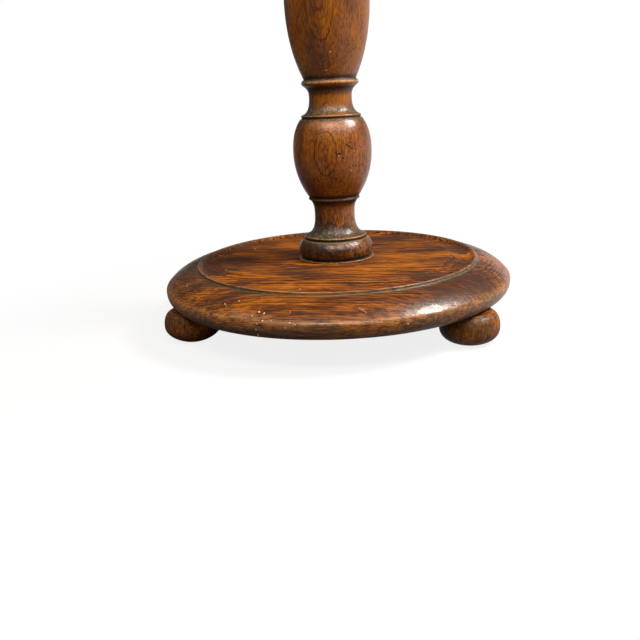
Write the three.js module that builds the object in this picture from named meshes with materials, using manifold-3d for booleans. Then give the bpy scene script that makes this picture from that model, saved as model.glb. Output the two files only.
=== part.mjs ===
// A turned oak pedestal stand: a round moulded base on three bun feet, one long turned column and a round top.
// Millimetres, +Z up. The origin is on the floor, on the axis of the column.
import * as THREE from 'three';
import { mergeVertices } from 'three/addons/utils/BufferGeometryUtils.js';
import Module from 'manifold-3d';

const wasm = await Module();
wasm.setup();

// Overall sizes
const standHeight = 915;
const baseDiameter = 300;
const topDiameter = 280;
const glueGap = 0.3;

// Base disc, heights above its underside
const baseThickness = 29.5;
const baseUnderRounding = 7;
const rimWidestHeight = 11.5;
const rimArrisHeight = 15.5;
const rimArrisInset = 2;
const shoulderWidth = 26;
const shoulderDrop = 2.3;
const lipWidth = 3.2;
const lipStand = 0.4;
const channelWidth = 20;
const channelDepth = 2.4;
const channelSteepShare = 0.2;

// Bun feet
const footCount = 3;
const footHeight = 26;
const footRadius = 24;
const footWaist = 13;
const footSoleRadius = 11;
const footNeckRadius = 18;
const footInset = 18;
const spigotRadius = 8;
const spigotLength = 13;

// Column: its tenons, and the fillet and quirk that part its members
const tenonRadius = 14;
const filletHeight = 1.7;
const quirkHeight = 1.1;
const quirkDepth = 1.2;

// Turned members of the column from the foot up: radii by name, and heights below, at and above the neck or belly
const footRing = { height: 1.4, radius: 33.8 };
const collar = { foot: 29.4, height: 15.6, crest: 32.4, top: 28 };
const lowerCove = { foot: 26.9, below: 16.5, neck: 17.4, throat: 3, above: 11.5, top: 21.2 };
const bulb = { foot: 22, below: 37.5, widest: 33.4, above: 26.7, top: 25.8 };
const middleCove = { foot: 25.2, below: 13.5, neck: 17.9, throat: 1.2, above: 8, top: 21.8 };
const vaseRing = { height: 5.6, crest: 23.9, top: 21.6 };
const vase = { height: 62, widest: 34.5, neck: 17.8 };
const upperRing = { flare: 7, foot: 22, height: 7, crest: 25.2 };
const upperCove = { foot: 22, below: 12, neck: 17.4, throat: 4, above: 10, top: 21.4 };
const upperBulb = { foot: 22, below: 25, widest: 30.5, above: 22, top: 24.4 };
const topCove = { foot: 23.8, below: 12, neck: 17.4, throat: 2, above: 30, top: 26.6 };
const topCollar = { foot: 27.6, height: 14, crest: 32.4, top: 29 };

// Saw kerf and wedge in the end of each tenon
const wedgeLength = 20;
const wedgeThickness = 3.4;
const wedgeTip = 1.2;

// Top disc, and the turned block under it that holds the column
const topThickness = 22;
const topUnderRounding = 5;
const topWidestHeight = 9;
const thumbWidth = 15;
const thumbStep = 1.6;
const blockDiameter = 140;
const blockThickness = 20;
const blockEdgeHeight = 6;
const blockFilletHeight = 1.5;
const blockMouldingWidth = 13;

// Countersunk slotted screws from the block up into the top
const screwCount = 4;
const screwLength = 32;
const screwRadius = 2.1;
const screwHeadRadius = 4.1;
const screwHeadHeight = 2.8;
const screwTipLength = 5;
const screwTipRadius = 0.5;
const screwRimHeight = 0.4;
const screwSlotWidth = 1.1;
const screwSlotDepth = 1.2;
const screwInset = 9;

// Sizes that follow from the ones above
const baseRadius = baseDiameter / 2;
const topRadius = topDiameter / 2;
const blockRadius = blockDiameter / 2;
const mortiseRadius = tenonRadius + glueGap;
const footCircleRadius = baseRadius - footInset;
const screwCircleRadius = blockRadius - blockMouldingWidth - screwInset;
const columnFoot = footHeight + baseThickness + glueGap;
const topUnderside = standHeight - topThickness;
const blockUnderside = topUnderside - glueGap - blockThickness;
const columnHeight = blockUnderside - glueGap - columnFoot;
const lowerTenonLength = baseThickness;
const upperTenonLength = blockThickness;

// Smoothness of the turned surfaces
const baseSides = 56;
const topSides = 44;
const blockSides = 32;
const columnSides = 30;
const footSides = 20;
const screwSides = 12;

const oak = { color: 0x6d3c17, roughness: 0.42, metalness: 0 };
const footOak = { color: 0x4d2c14, roughness: 0.5, metalness: 0 };
const rawOak = { color: 0x8d6a43, roughness: 0.8, metalness: 0 };
const steel = { color: 0x6e6a64, roughness: 0.45, metalness: 1 };

// A turned outline: x is the radius and y the height, and every member starts where the last one ended
class Outline extends THREE.Path {
  step(radius) {
    return this.lineTo(radius, this.currentPoint.y);
  }

  band(height, radius = this.currentPoint.x) {
    return this.lineTo(radius, this.currentPoint.y + height);
  }

  // Half-round member that stands out to the crest and comes back
  bead(height, crest, radius = this.currentPoint.x) {
    const { x, y } = this.currentPoint;
    return this.quadraticCurveTo(2 * crest - (x + radius) / 2, y + height / 2, radius, y + height);
  }

  // Full curve, upright at its larger radius; corner is the share of the height from the smaller end
  swell(height, radius, corner) {
    const { x, y } = this.currentPoint;
    const share = radius > x ? corner : 1 - corner;
    return this.quadraticCurveTo(Math.max(x, radius), y + height * share, radius, y + height);
  }

  // Hollow curve, upright at its smaller radius; corner is the share of the height from the larger end
  hollow(height, radius, corner) {
    const { x, y } = this.currentPoint;
    const share = radius > x ? 1 - corner : corner;
    return this.quadraticCurveTo(Math.min(x, radius), y + height * share, radius, y + height);
  }

  // Long curve, upright at both ends
  taper(height, radius) {
    const { x, y } = this.currentPoint;
    return this.bezierCurveTo(x, y + height * 0.36, radius, y + height * 0.5, radius, y + height);
  }

  points() {
    const points = [this.curves[0].getPoint(0)];
    for (const curve of this.curves) {
      const steps = THREE.MathUtils.clamp(Math.round(curve.getLength() / 7.5), 4, 9);
      points.push(...curve.getPoints(curve.isLineCurve ? 1 : steps).slice(1));
    }
    return points;
  }
}

function outlineFrom(radius, height = 0) {
  const outline = new Outline();
  outline.moveTo(radius, height);
  return outline;
}

function turned(outline, sides) {
  return new THREE.LatheGeometry(outline.points(), sides).rotateX(Math.PI / 2);
}

// Closed surface to solid, without the empty triangles that a turned surface has on its axis
function solidOf(geometry) {
  const bare = new THREE.BufferGeometry();
  bare.setAttribute('position', geometry.getAttribute('position'));
  bare.setIndex(geometry.getIndex());
  const merged = mergeVertices(bare, 1e-3);
  const corners = merged.getIndex().array;
  const triangles = [];
  for (let i = 0; i < corners.length; i += 3) {
    const [a, b, c] = corners.slice(i, i + 3);
    if (a !== b && b !== c && c !== a) triangles.push(a, b, c);
  }
  return new wasm.Manifold(new wasm.Mesh({
    numProp: 3,
    vertProperties: merged.getAttribute('position').array,
    triVerts: new Uint32Array(triangles),
  }));
}

function geometryOf(solid) {
  const { vertProperties, triVerts } = solid.getMesh();
  const geometry = new THREE.BufferGeometry();
  geometry.setAttribute('position', new THREE.BufferAttribute(vertProperties, 3));
  geometry.setIndex(new THREE.BufferAttribute(triVerts, 1));
  geometry.computeVertexNormals();
  return geometry;
}

function cut(geometry, cutters) {
  let solid = solidOf(geometry);
  for (const cutter of cutters) solid = solid.subtract(solidOf(cutter));
  return geometryOf(solid);
}

function place(name, geometry, material, [x, y, z], turn = 0) {
  const mesh = new THREE.Mesh(geometry, new THREE.MeshStandardMaterial(material));
  mesh.name = name;
  mesh.position.set(x, y, z);
  mesh.rotation.z = turn;
  return mesh;
}

// Places spread evenly round the axis, the first at a given angle
function ringOf(count, radius, firstAngle) {
  return Array.from({ length: count }, (_, i) => {
    const angle = firstAngle + (2 * Math.PI * i) / count;
    return { x: radius * Math.cos(angle), y: radius * Math.sin(angle), angle };
  });
}

const footPlaces = ringOf(footCount, footCircleRadius, Math.PI / 2);
const screwPlaces = ringOf(screwCount, screwCircleRadius, Math.PI / 4);

// Base disc: rounded rim with a soft arris, a broad shoulder, then a lip round a shallow channel and a flat field
function baseDisc() {
  const lipOuter = baseRadius - rimArrisInset - shoulderWidth;
  const lipInner = lipOuter - lipWidth;
  const lipEdge = baseThickness - lipStand;
  const shoulderHeight = baseThickness - shoulderDrop;
  const channelInner = lipInner - channelWidth;
  const steepest = lipInner - channelWidth * channelSteepShare;
  const outline = outlineFrom(mortiseRadius)
    .step(baseRadius - baseUnderRounding)
    .swell(rimWidestHeight, baseRadius, 0.3)
    .swell(rimArrisHeight - rimWidestHeight, baseRadius - rimArrisInset, 0.4)
    .quadraticCurveTo(baseRadius - shoulderWidth / 2, shoulderHeight, lipOuter, shoulderHeight)
    .lineTo(lipOuter, lipEdge)
    .quadraticCurveTo((lipOuter + lipInner) / 2, lipEdge + 3 * lipStand, lipInner, lipEdge)
    .quadraticCurveTo(steepest, baseThickness - 2 * channelDepth, channelInner, baseThickness)
    .step(mortiseRadius)
    .lineTo(mortiseRadius, 0);
  const spigotHoles = footPlaces.map(({ x, y }) => (
    turned(spigotOutline(glueGap), footSides).translate(x, y, 0)
  ));
  return cut(turned(outline, baseSides), spigotHoles);
}

// Spigot of a foot from the base's underside up; grown, it is the hole, which starts below the surface
function spigotOutline(growth) {
  return outlineFrom(0, -growth)
    .step(spigotRadius + growth)
    .band(spigotLength + 2 * growth)
    .step(0);
}

// Bun foot: flat sole, full belly, drawn in under the disc, with its spigot turned in one piece
function bunFoot() {
  const seat = footHeight - glueGap;
  const outline = outlineFrom(0)
    .step(footSoleRadius)
    .swell(footWaist, footRadius, 0.2)
    .swell(seat - footWaist, footNeckRadius, 0.2)
    .step(spigotRadius)
    .band(spigotLength)
    .step(0);
  return turned(outline, footSides);
}

// Fillet that a quirk parts from the full member under it
function filletOver(outline, radius) {
  return outline
    .step(radius - quirkDepth)
    .band(quirkHeight)
    .step(radius)
    .band(filletHeight);
}

// Fillet that a quirk parts from the full member over it
function filletUnder(outline, radius) {
  return outline
    .step(radius)
    .band(filletHeight)
    .step(radius - quirkDepth)
    .band(quirkHeight);
}

function turnCollar(outline, { foot, height, crest, top }) {
  return outline
    .step(foot)
    .bead(height, crest, top);
}

function turnCove(outline, { below, neck, throat, above, top }) {
  return outline
    .hollow(below, neck, 0.1)
    .band(throat)
    .hollow(above, top, 0.28);
}

function turnBulb(outline, { foot, below, widest, above, top }) {
  return outline
    .step(foot)
    .swell(below, widest, 0.45)
    .swell(above, top, 0.34);
}

// Lower members of the column, from the ring on the base to the belly of the long vase
function turnLowerMembers(outline) {
  outline
    .step(footRing.radius)
    .band(footRing.height);
  turnCollar(outline, collar);
  filletOver(outline, lowerCove.foot);
  turnCove(outline, lowerCove);
  filletUnder(outline, bulb.foot);
  turnBulb(outline, bulb);
  filletOver(outline, middleCove.foot);
  turnCove(outline, middleCove);
  return outline
    .bead(vaseRing.height, vaseRing.crest, vaseRing.top)
    .swell(vase.height, vase.widest, 0.42);
}

// Upper members, from the vase's narrow end to the collar under the block
function turnUpperMembers(outline) {
  outline
    .hollow(upperRing.flare, upperRing.foot, 0.3)
    .bead(upperRing.height, upperRing.crest, upperCove.foot);
  turnCove(outline, upperCove);
  filletUnder(outline, upperBulb.foot);
  turnBulb(outline, upperBulb);
  filletOver(outline, topCove.foot);
  turnCove(outline, topCove);
  filletUnder(outline, topCollar.foot);
  return turnCollar(outline, topCollar);
}

function heightOf(members) {
  return members(outlineFrom(vase.neck)).currentPoint.y;
}

// Kerf or wedge for a tenon's end at z = 0, thick there and thin at the length below it
function wedgeShape(width, growth) {
  const end = wedgeThickness / 2 + growth;
  const tip = wedgeTip / 2 + growth;
  const shape = new THREE.Shape([
    new THREE.Vector2(-tip, -wedgeLength - growth),
    new THREE.Vector2(tip, -wedgeLength - growth),
    new THREE.Vector2(end, growth),
    new THREE.Vector2(-end, growth),
  ]);
  const geometry = new THREE.ExtrudeGeometry(shape, { depth: width, bevelEnabled: false });
  return geometry.rotateX(Math.PI / 2).translate(0, width / 2, 0);
}

// Column: one turning from tenon to tenon, with a saw kerf in each end
function column() {
  const vaseTaper = columnHeight - heightOf(turnLowerMembers) - heightOf(turnUpperMembers);
  const outline = outlineFrom(0, -lowerTenonLength)
    .step(tenonRadius)
    .lineTo(tenonRadius, 0);
  turnLowerMembers(outline).taper(vaseTaper, vase.neck);
  turnUpperMembers(outline)
    .step(tenonRadius)
    .band(upperTenonLength)
    .step(0);
  const kerfWidth = 2 * tenonRadius + 2;
  const lowerKerf = wedgeShape(kerfWidth, glueGap)
    .rotateX(Math.PI)
    .translate(0, 0, -lowerTenonLength);
  const upperKerf = wedgeShape(kerfWidth, glueGap)
    .translate(0, 0, columnHeight + upperTenonLength);
  return cut(turned(outline, columnSides), [lowerKerf, upperKerf]);
}

const wedge = () => wedgeShape(2 * tenonRadius - 1, 0);

// Screw from the face of its head, at z = 0, up to its point; grown, it is the hole for it
function screwOutline(growth) {
  return outlineFrom(0, -growth)
    .step(screwHeadRadius + growth)
    .band(growth + screwRimHeight)
    .band(screwHeadHeight, screwRadius + growth)
    .lineTo(screwRadius + growth, screwLength - screwTipLength)
    .band(screwTipLength, screwTipRadius + growth)
    .band(growth)
    .step(0);
}

function screw() {
  const slot = new THREE.BoxGeometry(3 * screwHeadRadius, screwSlotWidth, 2 * screwSlotDepth);
  return cut(turned(screwOutline(0), screwSides), [slot]);
}

// Holes for the screws, in the frame of a piece whose underside is at the given height
function screwHoles(underside) {
  return screwPlaces.map(({ x, y }) => (
    turned(screwOutline(glueGap), screwSides).translate(x, y, blockUnderside + glueGap - underside)
  ));
}

// Block under the top: its edge hollows out from the underside to a plain band
function topBlock() {
  const outline = outlineFrom(mortiseRadius)
    .step(blockRadius - blockMouldingWidth)
    .band(blockFilletHeight)
    .hollow(blockThickness - blockEdgeHeight - blockFilletHeight, blockRadius, 0.3)
    .band(blockEdgeHeight)
    .step(mortiseRadius)
    .lineTo(mortiseRadius, 0);
  return cut(turned(outline, blockSides), screwHoles(blockUnderside));
}

// Top disc: rounded edge that rises in a thumb moulding to a small step and a flat face
function topDisc() {
  const faceRadius = topRadius - thumbWidth;
  const outline = outlineFrom(0)
    .step(topRadius - topUnderRounding)
    .swell(topWidestHeight, topRadius, 0.3)
    .quadraticCurveTo(topRadius, topThickness - thumbStep, faceRadius, topThickness - thumbStep)
    .band(thumbStep)
    .step(0);
  return cut(turned(outline, topSides), screwHoles(topUnderside));
}

const group = new THREE.Group();
group.add(place('base_disc', baseDisc(), oak, [0, 0, footHeight]));
['foot_back', 'foot_left', 'foot_right'].forEach((name, i) => {
  const { x, y, angle } = footPlaces[i];
  group.add(place(name, bunFoot(), footOak, [x, y, 0], angle));
});
group.add(place('column', column(), oak, [0, 0, columnFoot]));
const lowerWedge = place('base_wedge', wedge(), rawOak, [0, 0, columnFoot - lowerTenonLength]);
lowerWedge.rotation.x = Math.PI;
group.add(lowerWedge);
const upperTenonEnd = columnFoot + columnHeight + upperTenonLength;
group.add(place('top_wedge', wedge(), rawOak, [0, 0, upperTenonEnd]));
group.add(place('top_block', topBlock(), oak, [0, 0, blockUnderside]));
group.add(place('top_disc', topDisc(), oak, [0, 0, topUnderside]));
screwPlaces.forEach(({ x, y, angle }, i) => {
  const seat = [x, y, blockUnderside + glueGap];
  group.add(place(`block_screw_${i + 1}`, screw(), steel, seat, angle));
});

export default group;
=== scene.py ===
"""A turned oak pedestal stand on a pale studio floor, seen from the photograph's viewing angle.

Sizes of the stand are in millimetres; the Blender scene is in metres, +Z up.
"""
import math
from dataclasses import dataclass

import bmesh
import bpy
import numpy as np
from mathutils import Matrix, Vector, noise
from mathutils.bvhtree import BVHTree


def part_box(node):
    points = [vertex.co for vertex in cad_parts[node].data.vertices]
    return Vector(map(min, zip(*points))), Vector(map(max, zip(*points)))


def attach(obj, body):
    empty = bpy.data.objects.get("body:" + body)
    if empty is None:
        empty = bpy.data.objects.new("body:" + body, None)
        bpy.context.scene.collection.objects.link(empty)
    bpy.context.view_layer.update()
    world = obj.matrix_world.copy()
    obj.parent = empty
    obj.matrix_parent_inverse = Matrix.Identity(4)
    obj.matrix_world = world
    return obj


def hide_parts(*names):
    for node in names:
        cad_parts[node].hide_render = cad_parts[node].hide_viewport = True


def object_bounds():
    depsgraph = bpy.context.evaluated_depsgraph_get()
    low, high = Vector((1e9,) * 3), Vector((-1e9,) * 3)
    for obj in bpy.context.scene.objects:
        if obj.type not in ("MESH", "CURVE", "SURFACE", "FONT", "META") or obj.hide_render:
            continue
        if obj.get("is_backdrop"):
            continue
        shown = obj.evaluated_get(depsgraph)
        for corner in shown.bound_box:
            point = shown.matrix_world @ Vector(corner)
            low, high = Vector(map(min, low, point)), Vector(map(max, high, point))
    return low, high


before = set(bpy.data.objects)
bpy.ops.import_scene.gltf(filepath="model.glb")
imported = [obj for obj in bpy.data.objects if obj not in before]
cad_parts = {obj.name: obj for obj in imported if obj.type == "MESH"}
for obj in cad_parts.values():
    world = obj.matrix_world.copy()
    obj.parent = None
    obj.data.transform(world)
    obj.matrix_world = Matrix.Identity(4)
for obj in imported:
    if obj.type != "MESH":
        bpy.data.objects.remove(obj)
cad_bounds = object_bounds()

MM = 0.001

# The photograph's view: where the camera stands from the middle of the base, and how it is held
VIEW_HEIGHT_ON_BASE = 37.5
VIEW_DISTANCE = 660.0
VIEW_TURN = math.radians(8.5)
VIEW_ELEVATION = math.radians(14.02)
VIEW_TILT = 0.0592
VIEW_PAN = -0.0268
VIEW_ROLL = math.radians(-2.65)
PICTURE_SIDE = 640
FOCAL_PIXELS = 737.0
SENSOR_WIDTH = 36.0
NEAREST_SEEN = 20.0

# Joints
GLUE_GAP = 0.3
TENON_RADIUS = 14.0
MORTISE_RADIUS = TENON_RADIUS + GLUE_GAP
KERF_REACH = 15.0
KERF_DEPTH = 20.3
KERF_END = 2.0
KERF_BOTTOM = 0.9
SPIGOT_RADIUS = 8.0
SPIGOT_LENGTH = 13.0

# Base disc, heights above its underside
BASE_UNDER_ROUNDING = 7.0
RIM_WIDEST_HEIGHT = 11.5
RIM_ARRIS_HEIGHT = 15.5
RIM_ARRIS_INSET = 2.0
SHOULDER_TURN = 13.0
SHOULDER_HEIGHT = 27.2
FIELD_HEIGHT = 29.5
LIP_RADIUS = 122.0
LIP_WIDTH = 3.2
LIP_STAND = 0.4
CHANNEL_WIDTH = 20.0
CHANNEL_DEPTH = 2.4
CHANNEL_STEEP_SHARE = 0.2

# Turned members of the column from the foot up: radii by name, and heights below, at and above
# the neck or belly
FILLET_HEIGHT = 1.5
QUIRK_HEIGHT = 1.3
QUIRK_DEPTH = 0.4
FOOT_RING = dict(height=0.8, radius=33.0)
COLLAR = dict(foot=29.4, height=16.2, crest=32.4, top=28.0)
LOWER_COVE = dict(foot=26.9, below=16.5, neck=17.4, throat=3.0, above=11.5, top=21.2)
BULB = dict(foot=22.0, below=37.5, widest=33.4, above=26.7, top=25.8)
MIDDLE_COVE = dict(foot=25.2, below=13.5, neck=17.9, throat=1.2, above=8.0, top=21.8)
VASE_RING = dict(height=5.6, crest=23.9, top=21.6)
VASE = dict(height=62.0, widest=34.5, neck=17.8)
UPPER_RING = dict(flare=7.0, foot=22.0, height=7.0, crest=25.2)
UPPER_COVE = dict(foot=22.0, below=12.0, neck=17.4, throat=4.0, above=10.0, top=21.4)
UPPER_BULB = dict(foot=22.0, below=25.0, widest=30.5, above=22.0, top=24.4)
TOP_COVE = dict(foot=23.8, below=12.0, neck=17.4, throat=2.0, above=30.0, top=26.6)
TOP_COLLAR = dict(foot=27.6, height=14.0, crest=32.4, top=29.0)

# Bun feet; the left one is drawn in more below its belly
FOOT_SOLE = 11.0
FOOT_BELLY = 24.0
FOOT_BELLY_HEIGHT = 13.0
FOOT_NECK = 18.0
FOOT_FULLNESS = dict(foot_back=0.9, foot_left=0.35, foot_right=0.9)

# Top disc, and the block under it
TOP_UNDER_ROUNDING = 5.0
TOP_WIDEST_HEIGHT = 9.0
THUMB_WIDTH = 15.0
THUMB_STEP = 1.6
BLOCK_MOULDING_WIDTH = 13.0
BLOCK_FILLET_HEIGHT = 1.5
BLOCK_HOLLOW_HEIGHT = 12.5
BLOCK_EDGE_HEIGHT = 6.0

# Screws under the block
SCREWS = [f"block_screw_{number}" for number in range(1, 5)]
SCREW_HEAD_RADIUS = 4.1
SCREW_RIM_HEIGHT = 0.4
SCREW_HEAD_HEIGHT = 2.8
SCREW_RADIUS = 2.1
SCREW_LENGTH = 32.0
SCREW_TIP_LENGTH = 5.0
SCREW_TIP_RADIUS = 0.5

# Sides of each round piece
BASE_SIDES = 256
FOOT_SIDES = 96
COLUMN_SIDES = 128
TOP_SIDES = 224
BLOCK_SIDES = 160
SPIGOT_SIDES = 48
SCREW_SIDES = 32

# Specks: share of the width, and height, of each ring from the sunk edge to the flat crown
SPECK_SIDES = 10
SPECK_RINGS = ((1.0, -0.15), (0.85, 0.1), (0.5, 0.2))
SPECK_RAGGEDNESS = 0.5

# Specks of cream paint: pixel across and down in the photograph, and width
BASE_SPECKS = [
    (225, 304, 1.5), (239, 301, 1.4), (226, 306, 0.9), (259, 312, 1.8), (264, 313.5, 1.8),
    (252, 316, 1.4), (262.5, 320.6, 1.6), (257, 324, 1.1), (289.5, 323, 1.6), (256, 330, 1.3),
    (258, 335, 1.6), (255, 249, 1.8), (187, 286, 1.2), (216, 289, 1.0), (290, 312, 0.9),
    (295, 325, 1.1), (384, 261, 1.2), (300, 289, 0.9), (262, 298, 0.8), (246, 317, 0.8),
    (271, 321, 0.8), (285, 328, 0.9), (226, 270, 1.0), (408, 324, 1.1),
]
COLUMN_SPECKS = [
    (330.2, 52, 1.2), (326, 70.5, 1.0), (351.5, 170.5, 1.0), (354.5, 151, 0.9), (338.7, 156, 0.9),
    (361, 145.4, 0.8),
]

# Nicks in the column, filled with dark wax, and a scratch of fine pale specks on the base
COLUMN_NICKS = [
    (347, 144.7, 2.0), (350.2, 142.2, 1.7), (349.5, 146.2, 2.2), (351.3, 148, 1.7), (348.9, 151.8, 1.5),
    (339.6, 153.4, 2.2), (336.2, 153, 1.8), (337.4, 155.2, 1.5), (343.1, 158.1, 1.7), (360, 146, 1.5),
    (350, 167, 1.2), (352.7, 165.9, 1.2), (355.9, 165.8, 1.4), (359.1, 165.5, 1.2), (362.9, 164.6, 1.2),
]
BASE_SCRATCH = [
    (359.6, 308.3, 0.6), (361, 309.2, 0.7), (362.4, 310.1, 0.8), (363.8, 311, 0.8), (365.2, 311.9, 0.7),
    (366.6, 312.8, 0.6),
]

# The surface is rubbed uneven in waves of this depth and span, and where it is worn, in short hollows
UNEVEN_DEPTH = 0.12
UNEVEN_SPAN = 22.0
WORN_DEPTH = 0.25
WORN_SPAN = 5.0
WORN_START = Vector((31, 7, 3))

# Bends of an outline in radians per millimetre: arrises and inner corners, rounded rims, and coves
SHARP_BEND = 0.12
ROUND_BEND = 0.03
COVE_BEND = 0.01

# Painted shade: the wood is darker from this height down to the floor, where the lower members get less
# light
LOW_SHADE_FROM = 225.0

# Shoes and brooms have dented and soiled upright pieces below this height, and fully below the next
KICKED_BELOW = 105.0
KICKED_FULLY_BELOW = 84.0

# Oak colours, from the bright figure to the stain in the open pores
GOLD = (0.46, 0.142, 0.006)
AMBER = (0.29, 0.08, 0.004)
BROWN = (0.12, 0.032, 0.004)
UMBER = (0.02, 0.008, 0.003)

# Faded stain, worn wood that is also painted highlight, dirt that is also painted shade, dust, and pale
# dust flecks that are partly painted glints
MAUVE = (0.085, 0.034, 0.02)
WEATHERED = (0.12, 0.086, 0.038)
# Worn wood, also the colour of painted highlights on arrises
RUBBED_AND_HIGHLIT = (0.72, 0.34, 0.11)
# Soot, also the colour of painted shade in corners and under coves
SOOT_AND_SHADE = (0.012, 0.009, 0.005)
OLIVE = (0.05, 0.038, 0.018)
ASH = (0.16, 0.17, 0.11)
# Pale dust flecks, also the colour of painted glints
CREAM_AND_GLINT = (0.62, 0.54, 0.36)

# Share of the stain that each mark covers where it is strongest
KNOCK_COVER = 0.75
SOIL_COVER = 0.8
DUST_COVER = 0.85
# Grime covers dirt and painted shade alike
GRIME_AND_SHADE_COVER = 0.92
# Wear covers worn arrises and painted highlights alike
WEAR_AND_HIGHLIGHT_COVER = 0.85

# Year rings: their waves as a share of their sway, and how the growth changes from year to year
WAVE_SHARE = 0.25
GROWTH_CHANGE = 0.23
GROWTH_SWING = 2.2

# Relief of oak in millimetres, below the face where it is negative
DENT_RELIEF = 0.3
PORE_RELIEF = -0.06
POROUS_RING_RELIEF = -0.03
KNOCK_RELIEF = -0.25
FIBRE_RELIEF = 0.1
BLOTCH_RELIEF = 0.1
KICKED_BLOTCH_RELIEF = 1.1
KICKED_SPECKLE_RELIEF = 0.25
CLEAN_SPECKLE_RELIEF = 0.02
DUSTY_SPECKLE_RELIEF = 0.5
RELIEF_STRENGTH = 0.8

# Polish: how rough its film is, how far smears and matt places change the wood's roughness, and the
# share of the film that is left in smears
FILM_ROUGHNESS = 0.22
WOOD_SPECULAR = 0.22
SMEAR_SHINE = 0.06
SMEAR_DULLNESS = 0.1
MATT_DULLNESS = 0.3
SMEARED_POLISH = 0.6

# Most values of a noise lie between these
NOISE_LOW = 0.3
NOISE_HIGH = 0.7

# Other materials
PAINT = (0.8, 0.72, 0.55)
SOILED_PAINT = (0.5, 0.4, 0.24)
DRY_WAX = (0.05, 0.03, 0.014)
BARE_OAK = (0.36, 0.23, 0.12)
AGED_OAK = (0.14, 0.08, 0.035)
DIRTY_OAK = (0.08, 0.045, 0.02)
STEEL = (0.32, 0.3, 0.27)
RUST = (0.1, 0.05, 0.025)

# White backdrop: the share of it that polish mirrors, where it stands, and where it starts and is full,
# as parts of a mirrored direction and, over the floor, in metres
MIRRORED_WHITE = 0.65
BACKDROP_AZIMUTH = 120
BACKDROP_TOP = (0.3, 0.08)
BACKDROP_SIDE = (0.35, 0.8)
BACKDROP_ON_FLOOR = (-0.1, 0.2)

# Room and floor, in metres where they have a size
ROOM_TONE = (1.0, 0.9, 0.8)
ROOM_STRENGTH = 0.1
FLOOR_TONE = (0.86, 0.86, 0.85)
FLOOR_MIRRORED_TONE = (0.12, 0.12, 0.12)
FLOOR_ROUGHNESS = 0.9
FLOOR_REACH = 6.0
SHADOW_WITHIN = 0.17
WHITE_BEYOND = 0.42
WHITE_IN_SHADOW = 0.84

# Lamps: azimuth and elevation in degrees, distance and size in metres, power in watts, and colour
LAMP_AIM = 0.1
LAMPS = {
    "key": (82, 47, 1.6, (0.46, 0.46), 27, (1.0, 0.95, 0.88)),
    "window": (66, 40, 1.9, (1.3, 0.8), 8, (1.0, 0.9, 0.92)),
    "front_strip": (-4, 52, 1.8, (1.6, 0.35), 15, (1.0, 0.92, 0.82)),
    "left_strip": (-62, 50, 1.9, (1.6, 0.5), 3, (0.92, 0.95, 1.0)),
    "front_fill": (10, 44, 2.2, (1.5, 1.2), 8, (1.0, 0.96, 0.92)),
}


def node_box(node):
    """Lowest and highest corner of a CAD node, in millimetres."""
    low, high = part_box(node)
    return Vector(low) / MM, Vector(high) / MM


# Heights and radii that the frame gives
BASE_LOW, BASE_HIGH = node_box("base_disc")
TOP_LOW, TOP_HIGH = node_box("top_disc")
BLOCK_LOW, BLOCK_HIGH = node_box("top_block")
COLUMN_LOW, COLUMN_HIGH = node_box("column")


@dataclass
class Handling:
    """How a piece has been handled: shares of full rubbing, which also paints arrises lighter as a
    highlight, and radii in millimetres within or beyond which it is worn, dusty or dull. With a dust line,
    dust lies only as a line in its corners.
    """

    rubbed: float = 1.0
    rim_rubbed: float = 0.0
    rim_beyond: float = 0.0
    worn_beyond: float = 0.0
    dust_beyond: float = 0.0
    dull_within: float = 0.0
    dust_line: bool = False


@dataclass
class Finish:
    """How a piece's oak was cut, stained and polished. The pith is the heart of the tree, across the grain.
    Lengths are in millimetres, and the rest are shares.
    """

    upright: bool
    pith: tuple
    seed: int
    ring_width: float = 1.6
    sway: float = 3.0
    figure: float = 0.8
    streaks: float = 0.7
    patches: float = 1.0
    stretch: float = 1.0
    fibres: float = 2.4
    dark: float = 0.1
    # Painted shade that darkens the wood towards the floor
    foot_dark: float = 0.0
    faded: tuple = MAUVE
    gloss: float = 0.38
    polish: float = 0.7
    dust_tone: tuple = OLIVE
    # Share of pale flecks in dust, partly painted glints
    flecked: float = 0.5
    kicked: float = 0.0


@dataclass
class Spots:
    """A kind of noise: how long and how wide its spots are, in millimetres, and a seed of its own."""

    along: float
    across: float
    seed: int
    detail: float = 2.0
    roughness: float = 0.5


LIP_INNER = LIP_RADIUS - LIP_WIDTH
BASE_HANDLING = Handling(
    rubbed=0.45, rim_rubbed=0.42, rim_beyond=LIP_RADIUS + 9, worn_beyond=LIP_INNER - 1,
    dust_beyond=LIP_RADIUS - 1, dull_within=LIP_INNER, dust_line=True,
)
BASE_FINISH = Finish(
    upright=False, pith=(-20, 330), seed=0, ring_width=1.4, figure=0.9, streaks=0.4, patches=1.3,
    stretch=1.3, fibres=2.6, dark=0.31, polish=0.9, dust_tone=ASH, flecked=0.1,
)
FEET_FINISH = Finish(
    upright=True, pith=(40, -30), seed=60, figure=0.15, streaks=0.3, stretch=0.2, fibres=1.4, dark=0.2,
    faded=WEATHERED, gloss=0.46, polish=0.15, kicked=0.6,
)
COLUMN_FINISH = Finish(
    upright=True, pith=(-3.5, -80), seed=20, ring_width=0.8, sway=0.7, figure=0.5, streaks=0.2,
    stretch=0.4, fibres=1.1, dark=0.05, foot_dark=0.52, polish=0.95, kicked=1.0,
)
TOP_FINISH = Finish(upright=False, pith=(60, 800), seed=40)

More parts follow.
